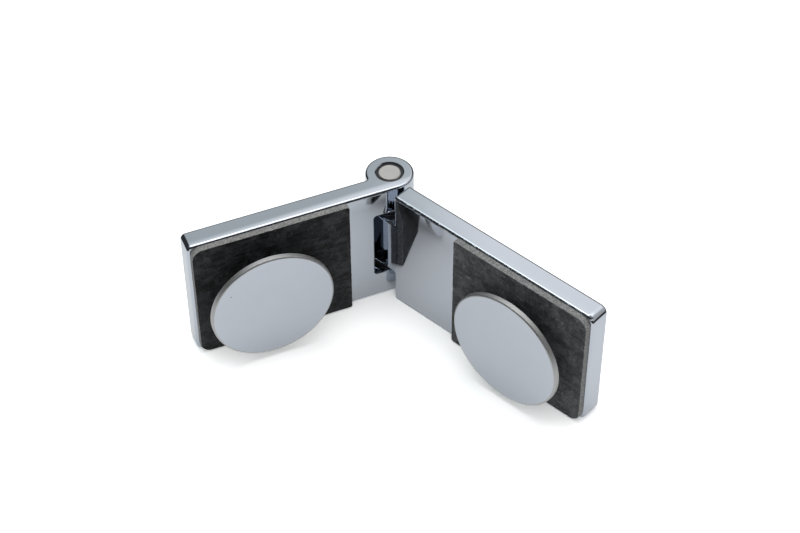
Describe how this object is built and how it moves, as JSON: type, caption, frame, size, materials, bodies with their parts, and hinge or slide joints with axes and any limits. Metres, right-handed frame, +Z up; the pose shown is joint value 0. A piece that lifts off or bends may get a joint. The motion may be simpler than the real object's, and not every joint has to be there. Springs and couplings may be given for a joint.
{
  "type": "glass door hinge",
  "caption": "Two-leaf glass door hinge standing open, each leaf with a gasket and a round disc that clamps the glass, joined by knuckles on one pin.",
  "frame": {"origin": "on the pin axis, at the level of the lower edges that the hinge stands on", "axes": "+Z up along the pin; the fixed leaf runs out along -X and its glass side faces -Y; the swing leaf stands 115 degrees from it, with both glass sides inside the V"},
  "size_m": [0.117, 0.0999, 0.05],
  "materials": {
    "chrome": "polished chrome plate",
    "rubber": "satin dark grey gasket",
    "black_plastic": "matt black nylon",
    "steel": "turned stainless steel"
  },
  "bodies": {
    "fixed_side": {"fixed_leaf": "chrome", "fixed_gasket": "rubber", "fixed_clamp_disc": "chrome", "fixed_disc_pad": "rubber", "fixed_glass_sleeve": "black_plastic", "fixed_clamp_screw": "steel", "upper_bush": "black_plastic", "lower_bush": "black_plastic", "upper_thrust_washer": "black_plastic", "lower_thrust_washer": "black_plastic"},
    "swing_side": {"swing_leaf": "chrome", "swing_gasket": "rubber", "swing_clamp_disc": "chrome", "swing_disc_pad": "rubber", "swing_glass_sleeve": "black_plastic", "swing_clamp_screw": "steel", "hinge_pin": "steel", "upper_set_screw": "steel", "lower_set_screw": "steel"}
  },
  "joints": [
    {"name": "leaf_swing", "type": "hinge", "parent": "fixed_side", "child": "swing_side", "pos_m": [0, 0, 0.025], "axis": [0, 0, 1], "range_deg": [-25, 245]}
  ]
}
